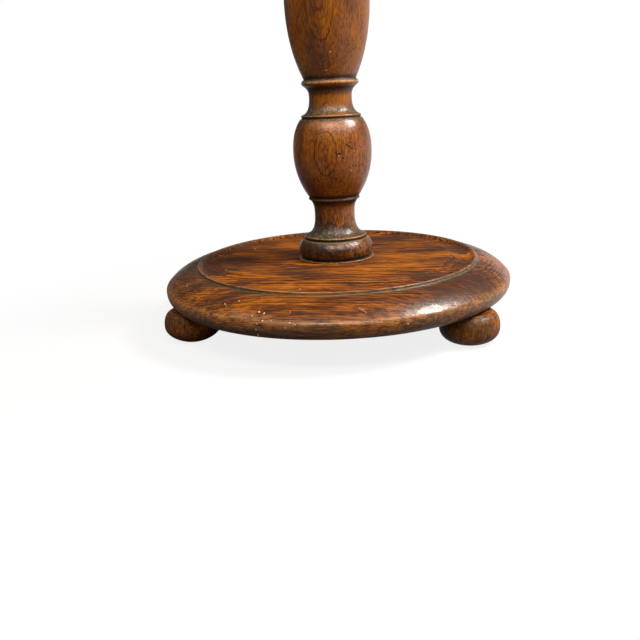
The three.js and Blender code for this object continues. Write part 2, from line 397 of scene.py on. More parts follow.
# Kinds of noise in oak; each finish stretches fibres, streaks and flames, and says how wide its fibres are
RING_SWAY = Spots(150, 45, seed=0)
RING_WAVE = Spots(28, 8, seed=3)
FIBRE_LENGTH = 14
STREAK_LENGTH = 45
STREAK_WIDTH = 2.6
FLAME_LENGTH = 20
FLAME_WIDTH = 4
PORE = Spots(4, 0.6, seed=9, detail=1)
PATCH = Spots(80, 30, seed=11, detail=3)
SMEAR = Spots(40, 22, seed=13, detail=3)
DENT = Spots(15, 9, seed=15)
BLOTCH = Spots(5, 3.5, seed=17, detail=3)
SPECKLE = Spots(1.3, 1.1, seed=23, detail=3)
KNOCK = Spots(2.2, 1.8, seed=31)
STRUCK_PLACE = Spots(30, 18, seed=33, detail=1)


def direction(azimuth, elevation):
    """Unit vector from the stand, in degrees: azimuth 0 points to the camera, 90 to the picture's right."""
    turn = math.radians(azimuth) + VIEW_TURN
    rise = math.radians(elevation)
    return Vector((math.sin(turn) * math.cos(rise), -math.cos(turn) * math.cos(rise), math.sin(rise)))


def place_object(name, data):
    placed = bpy.data.objects.new(name, data)
    bpy.context.collection.objects.link(placed)
    return placed


def mesh_object(name, verts, faces):
    mesh = bpy.data.meshes.new(name)
    mesh.from_pydata(verts, [], faces)
    return place_object(name, mesh)


def add_camera():
    turned = Matrix.Rotation(VIEW_TURN, 3, "Z")
    pitch = VIEW_ELEVATION + VIEW_TILT
    place = Vector((0, -math.cos(VIEW_ELEVATION), math.sin(VIEW_ELEVATION))) * VIEW_DISTANCE
    ahead = Vector((
        math.sin(VIEW_PAN) * math.cos(pitch),
        math.cos(VIEW_PAN) * math.cos(pitch),
        -math.sin(pitch),
    ))
    level = Vector((math.cos(VIEW_PAN), -math.sin(VIEW_PAN), 0))
    upright = level.cross(ahead)
    right = turned @ (math.cos(VIEW_ROLL) * level + math.sin(VIEW_ROLL) * upright)
    up = turned @ (math.cos(VIEW_ROLL) * upright - math.sin(VIEW_ROLL) * level)
    back = turned @ -ahead
    camera = place_object("camera", bpy.data.cameras.new("camera"))
    camera.data.sensor_width = SENSOR_WIDTH
    camera.data.lens = SENSOR_WIDTH * FOCAL_PIXELS / PICTURE_SIDE
    camera.data.clip_start = NEAREST_SEEN * MM
    camera.matrix_world = Matrix((
        (right.x, up.x, back.x, 0),
        (right.y, up.y, back.y, 0),
        (right.z, up.z, back.z, 0),
        (0, 0, 0, 1),
    ))
    camera.location = (turned @ place + Vector((0, 0, VIEW_HEIGHT_ON_BASE))) * MM
    bpy.context.scene.camera = camera
    bpy.context.view_layer.update()
    return camera


class Outline:
    """A turned outline of radii and heights. Every member starts where the last one ended."""

    def __init__(self, radius, height=0.0):
        self.end = (radius, height)
        self.curves = []

    def curve(self, *controls):
        """Bezier curve from the last end through these control points."""
        self.curves.append(np.array([self.end, *controls], float))
        self.end = controls[-1]
        return self

    def step(self, radius):
        return self.curve((radius, self.end[1]))

    def band(self, height, radius=None):
        return self.curve((self.end[0] if radius is None else radius, self.end[1] + height))

    def bead(self, height, crest, radius):
        """Half-round member that stands out to the crest and comes back."""
        x, y = self.end
        return self.curve((2 * crest - (x + radius) / 2, y + height / 2), (radius, y + height))

    def swell(self, height, radius, corner):
        """Full curve, upright at its larger end; its corner is a share of the height from the smaller."""
        x, y = self.end
        share = corner if radius > x else 1 - corner
        return self.curve((max(x, radius), y + height * share), (radius, y + height))

    def hollow(self, height, radius, corner):
        """Hollow curve, upright at its smaller end; its corner is a share of the height from the larger."""
        x, y = self.end
        share = 1 - corner if radius > x else corner
        return self.curve((min(x, radius), y + height * share), (radius, y + height))

    def taper(self, height, radius, slow=0.36, waist=0.5):
        """Long curve, upright at both ends, with its control points at those shares of the height."""
        x, y = self.end
        return self.curve((x, y + height * slow), (radius, y + height * waist), (radius, y + height))


def bezier(controls, share):
    """Points of a Bezier curve of any degree at the given shares of its length."""
    points = [np.outer(np.ones_like(share), control) for control in controls]
    while len(points) > 1:
        points = [a * (1 - share[:, None]) + b * share[:, None] for a, b in zip(points, points[1:])]
    return points[0]


def grown(values, rate, start=0.0, most=1.0):
    """Marks that grow with the values at that rate once they are past a start."""
    return np.clip(rate * values - start, 0, most)


def facing(lift, slope, level=0.0):
    """Share of a mark that stays on a face, by how far it looks up, from -1 underneath to 1 on top."""
    return np.clip(slope * lift + level, 0, 1)


class Profile:
    """The outline of a handled piece: soft arrises, how worn or dusty each place on it is, how dark it is
    with dirt and painted shade, and where it is painted lighter as a highlight.
    """

    SPACING = 0.15
    CURVE_POINTS = 60
    BLUR_WIDTHS = 2.5
    LONGEST_STEP = 4.5
    LARGEST_TURN = math.radians(9)
    LARGEST_CHANGE = 0.3
    MARKS = ("wear", "grime", "dust", "dull")

    def __init__(self, outline, handling, closed=False, softness=0.3):
        self.closed = closed
        points = self.evenly_spaced(outline)
        self.points = np.column_stack([self.blurred(points[:, i], softness) for i in (0, 1)])
        if not closed:
            self.points[[0, -1]] = points[[0, -1]]
        bend = self.measure()
        self.mark(bend, handling)
        self.thin_out()

    def evenly_spaced(self, outline):
        line = np.vstack([bezier(c, np.linspace(0, 1, self.CURVE_POINTS)) for c in outline.curves])
        steps = np.linalg.norm(np.diff(line, axis=0), axis=1)
        line = line[np.append(True, steps > 1e-6)]
        along = np.append(0, np.cumsum(np.linalg.norm(np.diff(line, axis=0), axis=1)))
        even = np.linspace(0, along[-1], int(along[-1] / self.SPACING), endpoint=not self.closed)
        return np.column_stack([np.interp(even, along, line[:, i]) for i in (0, 1)])

    def blurred(self, values, reach):
        """Values along the outline, smoothed over a distance in millimetres."""
        count = max(1, round(self.BLUR_WIDTHS * reach / self.SPACING))
        window = np.exp(-0.5 * np.linspace(-self.BLUR_WIDTHS, self.BLUR_WIDTHS, 2 * count + 1) ** 2)
        padded = np.pad(values, (count, count), mode="wrap" if self.closed else "edge")
        return np.convolve(padded, window / window.sum(), "valid")

    def neighbours(self, values):
        if self.closed:
            return np.roll(values, 1, axis=0), np.roll(values, -1, axis=0)
        padded = np.pad(values, [(1, 1)] + [(0, 0)] * (values.ndim - 1), mode="edge")
        return padded[:-2], padded[2:]

    def measure(self):
        """Normals and turning; gives the bend of each place, which is positive where it stands out."""
        before, after = self.neighbours(self.points)
        tangent = after - before
        tangent /= np.maximum(np.linalg.norm(tangent, axis=1), 1e-9)[:, None]
        self.normals = np.column_stack([tangent[:, 1], -tangent[:, 0]])
        back, ahead = self.neighbours(tangent)
        turning = back[:, 0] * ahead[:, 1] - back[:, 1] * ahead[:, 0]
        self.turning = np.abs(turning) / 2
        return turning / (2 * self.SPACING)

    def mark(self, bend, handling):
        """Ridges are worn and painted lighter as a highlight, inner corners and undersides under coves get
        dirt and painted shade, and dust lies where hollows look up.
        """
        radius = self.points[:, 0]
        lift = self.normals[:, 1]
        corner = np.maximum(-bend - SHARP_BEND, 0)
        cove = self.blurred(np.maximum(-bend - COVE_BEND, 0), reach=1.6)
        # Worn arrises and rim, also painted lighter as a highlight
        self.wear = self.rubbed_places(bend, corner, handling)
        # Dirt and painted shade: dark in inner corners, most on faces that look sideways or down, and on
        # the undersides under coves
        packed_and_shaded = grown(self.blurred(corner, reach=1.4), rate=5, start=0.7)
        self.grime = packed_and_shaded * facing(lift, slope=-1, level=1.25)
        self.grime += grown(cove, rate=9, most=0.75) * facing(lift, slope=-1.6)
        self.grime += grown(cove, rate=3, most=0.2) * (not handling.dust_line)
        self.grime = np.clip(self.grime, 0, 1)
        self.dust = grown(cove, rate=14) * facing(lift, slope=2.5) * (not handling.dust_line)
        reach, level = (0.6, 1.0) if handling.dust_line else (1.7, 0.6)
        lodged = grown(self.blurred(corner, reach), rate=2.4, most=0.8) * facing(lift, slope=1, level=level)
        if handling.dust_line:
            self.grime *= 1 - lodged
        kept = (1 - 0.8 * self.wear) * (radius > handling.dust_beyond)
        self.dust = np.clip(self.dust + lodged, 0, 1) * kept
        self.dull = np.clip(lift, 0, 1) ** 4 * (radius < handling.dull_within)

    def rubbed_places(self, bend, corner, handling):
        """Arrises away from any inner corner, and the rounded rim, where they look up or out: worn, and
        painted lighter as a highlight.
        """
        radius = self.points[:, 0]
        lift = self.normals[:, 1]
        ridge = np.maximum(bend - SHARP_BEND, 0)
        rounded = self.blurred(np.maximum(bend - ROUND_BEND, 0), reach=2.5)
        worn = grown(self.blurred(ridge, reach=0.15), rate=3, start=0.25)
        wear = worn * facing(lift, slope=1.2, level=0.5)
        wear *= handling.rubbed * (1 - grown(self.blurred(corner, reach=1.2), rate=3))
        rim = handling.rim_rubbed * grown(rounded, rate=9) * facing(lift, slope=1, level=1)
        wear += rim * (radius > handling.rim_beyond)
        return np.clip(wear * (radius > handling.worn_beyond), 0, 1)

    def thin_out(self):
        """Keeps the points that the shape and its marks need: closer where the outline turns."""
        need = self.SPACING / self.LONGEST_STEP + self.turning / self.LARGEST_TURN
        for name in self.MARKS:
            need = need + np.abs(np.gradient(getattr(self, name))) / self.LARGEST_CHANGE
        total = np.cumsum(need)
        keep = np.searchsorted(total, np.arange(total[0], total[-1]))
        if not self.closed:
            keep = np.append(keep, [0, len(self.points) - 1])
        keep = np.unique(keep)
        for name in ("points", "normals", *self.MARKS):
            setattr(self, name, getattr(self, name)[keep])


def lathe(name, radii, sides, closed, vertex):
    """Mesh of rings round an axis: one point where the radius is nothing, else one for each side."""
    rings, verts, owners = [], [], []
    for i, radius in enumerate(radii):
        count = 1 if radius < 1e-4 else sides
        rings.append(range(len(verts), len(verts) + count))
        verts += [vertex(i, 2 * math.pi * k / sides) * MM for k in range(count)]
        owners += [i] * count
    faces = []
    for low, high in zip(rings, [*rings[1:], rings[0]] if closed else rings[1:]):
        for k in range(sides):
            following = (k + 1) % sides
            lower = [low[k], low[following]] if len(low) > 1 else [low[0]]
            upper = [high[following], high[k]] if len(high) > 1 else [high[0]]
            faces.append(lower + upper)
    return mesh_object(name, verts, faces), owners


def turn_piece(name, profile, sides, centre=(0, 0), seat=0.0):
    """Turns a profile round an upright axis and rubs its surface slightly uneven, never outwards."""
    def vertex(i, angle):
        radius, height, out, lift = map(float, (*profile.points[i], *profile.normals[i]))
        around = Vector((math.cos(angle), math.sin(angle), 0))
        spot = around * radius + Vector((*centre, seat + height))
        rub = UNEVEN_DEPTH * (0.5 + 0.5 * noise.noise(spot / UNEVEN_SPAN))
        rub += WORN_DEPTH * float(profile.wear[i]) * max(0.0, noise.noise(spot / WORN_SPAN + WORN_START))
        return spot - rub * (around * out + Vector((0, 0, lift)))

    piece, owners = lathe(name, profile.points[:, 0], sides, profile.closed, vertex)
    for mark in Profile.MARKS:
        layer = piece.data.attributes.new(mark, "FLOAT", "POINT")
        layer.data.foreach_set("value", getattr(profile, mark)[owners])
    piece.data.shade_smooth()
    return piece


def turned_cutter(outline, sides, centre, seat):
    """Plain solid for a hole, turned from straight lines."""
    line = [outline.curves[0][0]] + [c[-1] for c in outline.curves]

    def vertex(i, angle):
        radius, height = line[i]
        x = centre[0] + radius * math.cos(angle)
        y = centre[1] + radius * math.sin(angle)
        return Vector((x, y, seat + height))

    return lathe("cutter", [radius for radius, _ in line], sides, False, vertex)[0]


def kerf_cutter(end, deeper):
    """Saw kerf across a tenon, wide at its end and narrow at its bottom, which lies that much deeper."""
    bottom = end + deeper
    corners = [(-KERF_END, end), (KERF_END, end), (KERF_BOTTOM, bottom), (-KERF_BOTTOM, bottom)]
    verts = [Vector((x, y, z)) * MM for y in (-KERF_REACH, KERF_REACH) for x, z in corners]
    faces = [(0, 1, 2, 3), (7, 6, 5, 4)] + [(k, k + 4, (k + 1) % 4 + 4, (k + 1) % 4) for k in range(4)]
    cutter = mesh_object("cutter", verts, faces)
    sides = bmesh.new()
    sides.from_mesh(cutter.data)
    bmesh.ops.recalc_face_normals(sides, faces=sides.faces)
    sides.to_mesh(cutter.data)
    sides.free()
    return cutter


def cut_out(piece, cutters):
    for cutter in cutters:
        change = piece.modifiers.new("cut", "BOOLEAN")
        change.operation = "DIFFERENCE"
        change.solver = "EXACT"
        change.object = cutter
    seen = piece.evaluated_get(bpy.context.evaluated_depsgraph_get())
    mesh = bpy.data.meshes.new_from_object(seen)
    piece.modifiers.clear()
    piece.data = mesh
    for cutter in cutters:
        bpy.data.objects.remove(cutter)


def in_view(camera, surface, x, y):
    """Place and normal where a pixel of the photograph falls on a surface."""
    half = PICTURE_SIDE / 2
    through = Vector(((x - half) / FOCAL_PIXELS, (half - y) / FOCAL_PIXELS, -1))
    return surface.ray_cast(camera.location, camera.matrix_world.to_3x3() @ through)[:2]


def speck_verts(spot, normal, width, number):
    """Rings of a low ragged dome on a surface."""
    turned = normal.to_track_quat("Z", "Y").to_matrix()
    for share, rise in SPECK_RINGS:
        for k in range(SPECK_SIDES):
            angle = 2 * math.pi * k / SPECK_SIDES
            edge = Vector((math.cos(angle), math.sin(angle), number))
            reach = width / 2 * share * (1 + SPECK_RAGGEDNESS * noise.noise(edge))
            yield spot + turned @ Vector((reach * math.cos(angle), reach * math.sin(angle), rise)) * MM


def speck_faces(first):
    """Faces between the rings of a speck, then its crown and its underside."""
    last = first + (len(SPECK_RINGS) - 1) * SPECK_SIDES
    for low in range(first, last, SPECK_SIDES):
        for k in range(SPECK_SIDES):
            following = (k + 1) % SPECK_SIDES
            high = low + SPECK_SIDES
            yield [low + k, low + following, high + following, high + k]
    yield list(range(last, last + SPECK_SIDES))
    yield list(range(first + SPECK_SIDES - 1, first - 1, -1))


def splash(camera, piece, name, places, material):
    """Small low domes on a piece, each given by its pixel in the photograph and its width."""
    corners = [vertex.co for vertex in piece.data.vertices]
    surface = BVHTree.FromPolygons(corners, [face.vertices[:] for face in piece.data.polygons])
    verts, faces = [], []
    for number, (x, y, width) in enumerate(places):
        spot, normal = in_view(camera, surface, x, y)
        faces += speck_faces(len(verts))
        verts += speck_verts(spot, normal, width, number)
    specks = mesh_object(name, verts, faces)
    specks.data.shade_smooth()
    specks.data.materials.append(material)
    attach(specks, "root")


def stand_for(piece, node, material):
    """Puts a finer piece in place of its CAD node."""
    piece.data.materials.clear()
    piece.data.materials.append(material)
    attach(piece, "root")
    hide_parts(node)


def base_profile():
    radius = BASE_HIGH.x
    lip_edge = FIELD_HEIGHT - LIP_STAND
    outline = Outline(MORTISE_RADIUS)
    outline.step(radius - BASE_UNDER_ROUNDING)
    outline.swell(RIM_WIDEST_HEIGHT, radius, corner=0.3)
    outline.swell(RIM_ARRIS_HEIGHT - RIM_WIDEST_HEIGHT, radius - RIM_ARRIS_INSET, corner=0.4)
    outline.curve((radius - SHOULDER_TURN, SHOULDER_HEIGHT), (LIP_RADIUS, SHOULDER_HEIGHT))
    outline.curve((LIP_RADIUS, lip_edge))
    outline.curve((LIP_RADIUS - LIP_WIDTH / 5, lip_edge + 3 * LIP_STAND), (LIP_INNER, lip_edge))
    outline.curve(
        (LIP_INNER - CHANNEL_WIDTH * CHANNEL_STEEP_SHARE, FIELD_HEIGHT - 2 * CHANNEL_DEPTH),
        (LIP_INNER - CHANNEL_WIDTH, FIELD_HEIGHT),
    )
    outline.step(MORTISE_RADIUS).curve((MORTISE_RADIUS, 0))
    return Profile(outline, BASE_HANDLING, closed=True)


def fillet_over(outline, radius):
    """Fillet that a quirk parts from the full member under it."""
    outline.step(radius - QUIRK_DEPTH).band(QUIRK_HEIGHT).step(radius).band(FILLET_HEIGHT)


def fillet_under(outline, radius):
    """Fillet that a quirk parts from the full member over it."""
    outline.step(radius).band(FILLET_HEIGHT).step(radius - QUIRK_DEPTH).band(QUIRK_HEIGHT)


def turn_collar(outline, collar):
    outline.step(collar["foot"]).bead(collar["height"], collar["crest"], collar["top"])


def turn_cove(outline, cove):
    outline.hollow(cove["below"], cove["neck"], corner=0.1)
    outline.band(cove["throat"]).hollow(cove["above"], cove["top"], corner=0.28)


def turn_bulb(outline, bulb):
    outline.step(bulb["foot"]).swell(bulb["below"], bulb["widest"], corner=0.45)
    outline.swell(bulb["above"], bulb["top"], corner=0.34)


def turn_lower_members(outline):
    outline.step(FOOT_RING["radius"]).band(FOOT_RING["height"])
    turn_collar(outline, COLLAR)
    fillet_over(outline, LOWER_COVE["foot"])
    turn_cove(outline, LOWER_COVE)
    fillet_under(outline, BULB["foot"])
    turn_bulb(outline, BULB)
    fillet_over(outline, MIDDLE_COVE["foot"])
    turn_cove(outline, MIDDLE_COVE)
    outline.bead(VASE_RING["height"], VASE_RING["crest"], VASE_RING["top"])
    outline.swell(VASE["height"], VASE["widest"], corner=0.42)


def turn_upper_members(outline):
    outline.hollow(UPPER_RING["flare"], UPPER_RING["foot"], corner=0.3)
    outline.bead(UPPER_RING["height"], UPPER_RING["crest"], UPPER_COVE["foot"])
    turn_cove(outline, UPPER_COVE)
    fillet_under(outline, UPPER_BULB["foot"])
    turn_bulb(outline, UPPER_BULB)
    fillet_over(outline, TOP_COVE["foot"])
    turn_cove(outline, TOP_COVE)
    fillet_under(outline, TOP_COLLAR["foot"])
    turn_collar(outline, TOP_COLLAR)


def column_profile():
    """Tenon, lower members, the vase's taper, upper members and tenon; the taper takes up what is left."""
    outline = Outline(0, COLUMN_LOW.z)
    outline.step(TENON_RADIUS).band(FIELD_HEIGHT)
    turn_lower_members(outline)
    upper = Outline(VASE["neck"])
    turn_upper_members(upper)
    upper_tenon = BLOCK_HIGH.z - BLOCK_LOW.z
    taper = COLUMN_HIGH.z - upper_tenon - upper.end[1] - outline.end[1]
    outline.taper(taper, VASE["neck"])
    turn_upper_members(outline)
    outline.step(TENON_RADIUS).band(upper_tenon).step(0)
    # The column's ring and arrises are painted lighter as a highlight along with their wear
    return Profile(outline, Handling(rubbed=1.4))


def foot_profile(fullness):
    """Bun foot; the less full, the more it is drawn in below its belly."""
    seat = BASE_LOW.z - GLUE_GAP
    outline = Outline(0)
    outline.step(FOOT_SOLE).swell(FOOT_BELLY_HEIGHT, FOOT_BELLY, corner=0.5 - 0.3 * fullness)
    outline.swell(seat - FOOT_BELLY_HEIGHT, FOOT_NECK, corner=0.2)
    outline.step(SPIGOT_RADIUS).band(SPIGOT_LENGTH).step(0)
    return Profile(outline, Handling(), softness=0.6)


def top_profile():
    radius = TOP_HIGH.x
    edge = TOP_HIGH.z - TOP_LOW.z - THUMB_STEP
    face_radius = radius - THUMB_WIDTH
    outline = Outline(0)
    outline.step(radius - TOP_UNDER_ROUNDING).swell(TOP_WIDEST_HEIGHT, radius, corner=0.3)
    outline.curve((radius, edge), (face_radius, edge)).band(THUMB_STEP).step(0)
    return Profile(outline, Handling(dull_within=face_radius))


def block_profile():
    radius = BLOCK_HIGH.x
    outline = Outline(MORTISE_RADIUS)
    outline.step(radius - BLOCK_MOULDING_WIDTH).band(BLOCK_FILLET_HEIGHT)
    outline.hollow(BLOCK_HOLLOW_HEIGHT, radius, corner=0.3)
    outline.band(BLOCK_EDGE_HEIGHT).step(MORTISE_RADIUS).curve((MORTISE_RADIUS, 0))
    return Profile(outline, Handling(), closed=True)


def middle_of(node):
    low, high = node_box(node)
    return (low.x + high.x) / 2, (low.y + high.y) / 2


def spigot_hole(foot):
    hole = Outline(0, -GLUE_GAP)
    hole.step(SPIGOT_RADIUS + GLUE_GAP).band(SPIGOT_LENGTH + 2 * GLUE_GAP).step(0)
    return turned_cutter(hole, SPIGOT_SIDES, middle_of(foot), BASE_LOW.z)


def screw_hole(screw):
    hole = Outline(0, -GLUE_GAP)
    hole.step(SCREW_HEAD_RADIUS + GLUE_GAP).band(GLUE_GAP + SCREW_RIM_HEIGHT)
    hole.band(SCREW_HEAD_HEIGHT, SCREW_RADIUS + GLUE_GAP)
    hole.curve((SCREW_RADIUS + GLUE_GAP, SCREW_LENGTH - SCREW_TIP_LENGTH))
    hole.band(SCREW_TIP_LENGTH, SCREW_TIP_RADIUS + GLUE_GAP).band(GLUE_GAP).step(0)
    return turned_cutter(hole, SCREW_SIDES, middle_of(screw), BLOCK_LOW.z + GLUE_GAP)


class Nodes:
    """A node tree that is written as a chain. Each method adds one node and gives its output."""

    def __init__(self, owner):
        owner.use_nodes = True
        self.tree = owner.node_tree

    def put(self, socket, value):
        if isinstance(value, bpy.types.NodeSocket):
            self.tree.links.new(value, socket)
        else:
            socket.default_value = value

    def add(self, kind, inputs, output=0, **settings):
        made = self.tree.nodes.new(kind)
        for key, value in settings.items():
            setattr(made, key, value)
        for key, value in inputs.items():
            self.put(made.inputs[key], value)
        return made.outputs[output]

    def maths(self, operation, a, b=0.0, clamp=False):
        return self.add("ShaderNodeMath", {0: a, 1: b}, operation=operation, use_clamp=clamp)

    def times(self, *factors):
        product = factors[0]
        for factor in factors[1:]:
            product = self.maths("MULTIPLY", product, factor)
        return product

    def total(self, *terms, clamp=False):
        result = terms[0]
        for term in terms[1:]:
            result = self.maths("ADD", result, term)
        return self.maths("ADD", result, 0.0, clamp=True) if clamp else result

    def fit(self, value, low, high, to_low=0.0, to_high=1.0):
        """Value from low..high to to_low..to_high, smoothly, and held at the ends."""
        inputs = {"Value": value, 1: low, 2: high, 3: to_low, 4: to_high}
        return self.add("ShaderNodeMapRange", inputs, interpolation_type="SMOOTHSTEP")

    def spread(self, noise_value, to_low, to_high):
        """A noise, brought to to_low..to_high."""
        return self.fit(noise_value, NOISE_LOW, NOISE_HIGH, to_low, to_high)

    def vector(self, operation, a, b=(0, 0, 0), output=0):
        return self.add("ShaderNodeVectorMath", {0: a, 1: b}, output=output, operation=operation)

    def split(self, vector):
        """The three parts of a vector."""
        parts = self.tree.nodes.new("ShaderNodeSeparateXYZ")
        self.put(parts.inputs[0], vector)
        return parts.outputs

    def blend(self, factor, a, b):
        """Colour that goes from a to b; b may be a plain colour."""
        made = self.tree.nodes.new("ShaderNodeMix")
        made.data_type = "RGBA"
        sockets = {s.identifier: s for s in made.inputs}
        self.put(sockets["Factor_Float"], factor)
        self.put(sockets["A_Color"], a)
        self.put(sockets["B_Color"], b)
        return next(s for s in made.outputs if s.identifier == "Result_Color")

    def shade(self, value, *tones):
        """Colour for a value from 0 to 1, through tones that are evenly spaced."""
        ramp = self.tree.nodes.new("ShaderNodeValToRGB")
        stops = ramp.color_ramp.elements
        while len(stops) < len(tones):
            stops.new(0.5)
        for i, tone in enumerate(tones):
            stops[i].position = i / (len(tones) - 1)
            stops[i].color = (*tone, 1)
        self.put(ramp.inputs[0], value)
        return ramp.outputs[0]

    def cloud(self, vector, spots, seed=0):
        """Noise of that kind, with its spots laid along the first axis."""
        scale = (1 / (spots.along * MM), 1 / (spots.across * MM), 1 / (spots.across * MM))
        inputs = {
            "Vector": self.vector("MULTIPLY", vector, scale),
            "W": spots.seed + seed,
            "Scale": 1.0,
            "Detail": spots.detail,
            "Roughness": spots.roughness,
        }
        return self.add("ShaderNodeTexNoise", inputs, noise_dimensions="4D")


class Surface(Nodes):
    """A material, with the marks that its pieces carry."""

    def __init__(self, name):
        self.material = bpy.data.materials.new(name)
        super().__init__(self.material)
        self.shader = self.tree.nodes["Principled BSDF"]

    def place(self):
        return self.add("ShaderNodeTexCoord", {}, output="Object")

    def mark(self, name):
        return self.add("ShaderNodeAttribute", {}, output="Fac", attribute_name=name)

    def give(self, **values):
        """Sets the shader's sockets, with an underscore for each space in their names."""
        for name, value in values.items():
            self.put(self.shader.inputs[name.replace("_", " ")], value)

    def bump(self, height, distance=MM, strength=1.0):
        inputs = {"Height": height, "Distance": distance, "Strength": strength}
        return self.add("ShaderNodeBump", inputs, output="Normal")


class Oak(Surface):
    """Stained and polished oak, finished in one way."""

    def __init__(self, name, finish):
        super().__init__(name)
        self.finish = finish
        self.grain = self.grain_coordinates()
        self.along = self.split(self.grain)["X"]
        self.blotch = self.spots(BLOTCH)
        self.speckle = self.spots(SPECKLE)
        struck = self.fit(self.spots(STRUCK_PLACE), 0.52, 0.62)
        self.knocked = self.times(self.fit(self.spots(KNOCK), 0.6, 0.68), struck)
        low_down = self.fit(self.along, KICKED_BELOW * MM, KICKED_FULLY_BELOW * MM)
        self.kicked = self.times(low_down, finish.kicked)
        self.stain()
        self.dirty()
        self.wax()
        self.raise_grain()

    def grain_coordinates(self):
        """Coordinates from the heart of the tree: x along the grain, y and z across it."""
        x, y, z = self.split(self.place())
        order = (z, x, y) if self.finish.upright else (x, y, z)
        joined = self.add("ShaderNodeCombineXYZ", dict(enumerate(order)))
        return self.vector("ADD", joined, (0, -self.finish.pith[0] * MM, -self.finish.pith[1] * MM))

    def spots(self, kind):
        return self.cloud(self.grain, kind, self.finish.seed)

    def year_rings(self):
        """Place in a year's ring, from 0 at its porous start to 1, and a value of its own for each ring."""
        distance = self.vector("LENGTH", self.vector("MULTIPLY", self.grain, (0, 1, 1)), output="Value")
        sway = self.finish.sway * MM
        wave = WAVE_SHARE * sway
        broad = self.fit(self.spots(RING_SWAY), 0, 1, -sway, sway)
        fine = self.fit(self.spots(RING_WAVE), 0, 1, -wave, wave)
        count = self.maths("DIVIDE", self.total(distance, broad, fine), self.finish.ring_width * MM)
        year = {"W": self.times(count, GROWTH_CHANGE), "Scale": 1.0}
        uneven = self.add("ShaderNodeTexNoise", year, noise_dimensions="1D")
        count = self.total(count, self.times(uneven, GROWTH_SWING))
        ring = {"W": self.maths("FLOOR", count)}
        own = self.add("ShaderNodeTexWhiteNoise", ring, noise_dimensions="1D")
        return self.maths("FRACT", count), own

    def stain(self):
        """Colour of the stained wood, which lies deeper in its porous rings, its pores and its fibres, and
        is darker towards the floor as painted shade.
        """
        finish = self.finish
        fraction, own = self.year_rings()
        self.porous = self.fit(fraction, 0.45, 0.08)
        length = FIBRE_LENGTH * finish.stretch
        self.fibre = self.spots(Spots(length, finish.fibres, seed=5, detail=4, roughness=0.7))
        streak = self.spots(Spots(STREAK_LENGTH * finish.stretch, STREAK_WIDTH, seed=7, detail=3))
        length = FLAME_LENGTH * finish.stretch
        flame = self.spots(Spots(length, FLAME_WIDTH, seed=21, detail=4, roughness=0.65))
        patch = self.spots(PATCH)
        in_ring = self.fit(self.porous, 0, 1, 0.25, 1)
        self.pores = self.times(self.fit(self.spots(PORE), 0.54, 0.64), in_ring)
        burnt = self.times(self.fit(flame, 0.54, 0.66), finish.streaks)
        depth = self.total(
            self.times(self.porous, self.fit(own, 0, 1, 0.4, 0.85), finish.figure),
            self.times(self.fit(streak, 0.32, 0.68, -0.3, 0.3), finish.streaks),
            self.spread(self.fibre, -0.34, 0.4),
            self.times(self.spread(patch, -0.14, 0.36), finish.patches),
            self.times(burnt, 0.25),
            self.times(self.pores, 0.3),
            # Painted shade: darker towards the floor
            self.fit(self.along, LOW_SHADE_FROM * MM, 0, finish.dark, finish.dark + finish.foot_dark),
            clamp=True,
        )
        tone = self.shade(depth, GOLD, AMBER, BROWN, UMBER)
        dulled = self.total(self.fit(patch, 0.45, 0.65, 0, 0.5), self.times(burnt, 0.5), clamp=True)
        self.tone = self.blend(dulled, tone, (*finish.faded, 1))

    def dirty(self):
        """Knocks, soil, dust with paler specks that are partly painted glints, dirt with painted shade in
        corners and under coves, and worn places, also painted lighter as a highlight, with their pores
        still dark.
        """
        self.dust = self.times(self.mark("dust"), self.fit(self.blotch, 0.68, 0.42, 0.3, 1))
        # Dirt together with painted shade in corners and under coves
        self.grime = self.mark("grime")
        # Worn places, partly painted highlight
        wear = self.times(
            self.mark("wear"),
            self.fit(self.blotch, 0.3, 0.5, 0.4, 1),
            self.fit(self.fibre, 0.42, 0.6, 1.15, 0.4),
            self.fit(self.pores, 0, 1, 1, 0.4),
        )
        soiled = self.times(self.fit(self.blotch, 0.46, 0.6), self.kicked)
        # Pale flecks in the dust, partly painted glints of light
        flecks_and_glints = self.times(self.dust, self.fit(self.speckle, 0.5, 0.66), self.finish.flecked)
        for mark, cover, colour in (
            (self.knocked, KNOCK_COVER, SOOT_AND_SHADE),
            (soiled, SOIL_COVER, SOOT_AND_SHADE),
            (self.dust, DUST_COVER, self.finish.dust_tone),
            (flecks_and_glints, 1.0, CREAM_AND_GLINT),
            (self.grime, GRIME_AND_SHADE_COVER, SOOT_AND_SHADE),
            (wear, WEAR_AND_HIGHLIGHT_COVER, RUBBED_AND_HIGHLIT),
        ):
            self.tone = self.blend(self.times(mark, cover), self.tone, (*colour, 1))
        self.give(Base_Color=self.tone)

    def wax(self):
        """Smeared polish, which is missing in pores, in the dirty corners that also carry painted shade,
        and in dull places.
        """
        gloss, polish = self.finish.gloss, self.finish.polish
        smear = self.spots(SMEAR)
        dry_pores = self.times(self.pores, 0.6)
        dry_grime_and_shade = self.times(self.grime, 0.6)
        matt = self.total(dry_pores, dry_grime_and_shade, self.mark("dull"), clamp=True)
        roughness = self.spread(smear, gloss - SMEAR_SHINE, gloss + SMEAR_DULLNESS)
        film = self.spread(smear, polish, SMEARED_POLISH * polish)
        self.give(
            Roughness=self.total(roughness, self.times(matt, MATT_DULLNESS), clamp=True),
            Coat_Weight=self.times(film, self.maths("SUBTRACT", 1.0, matt)),
            Coat_Roughness=FILM_ROUGHNESS,
            Specular_IOR_Level=WOOD_SPECULAR,
        )

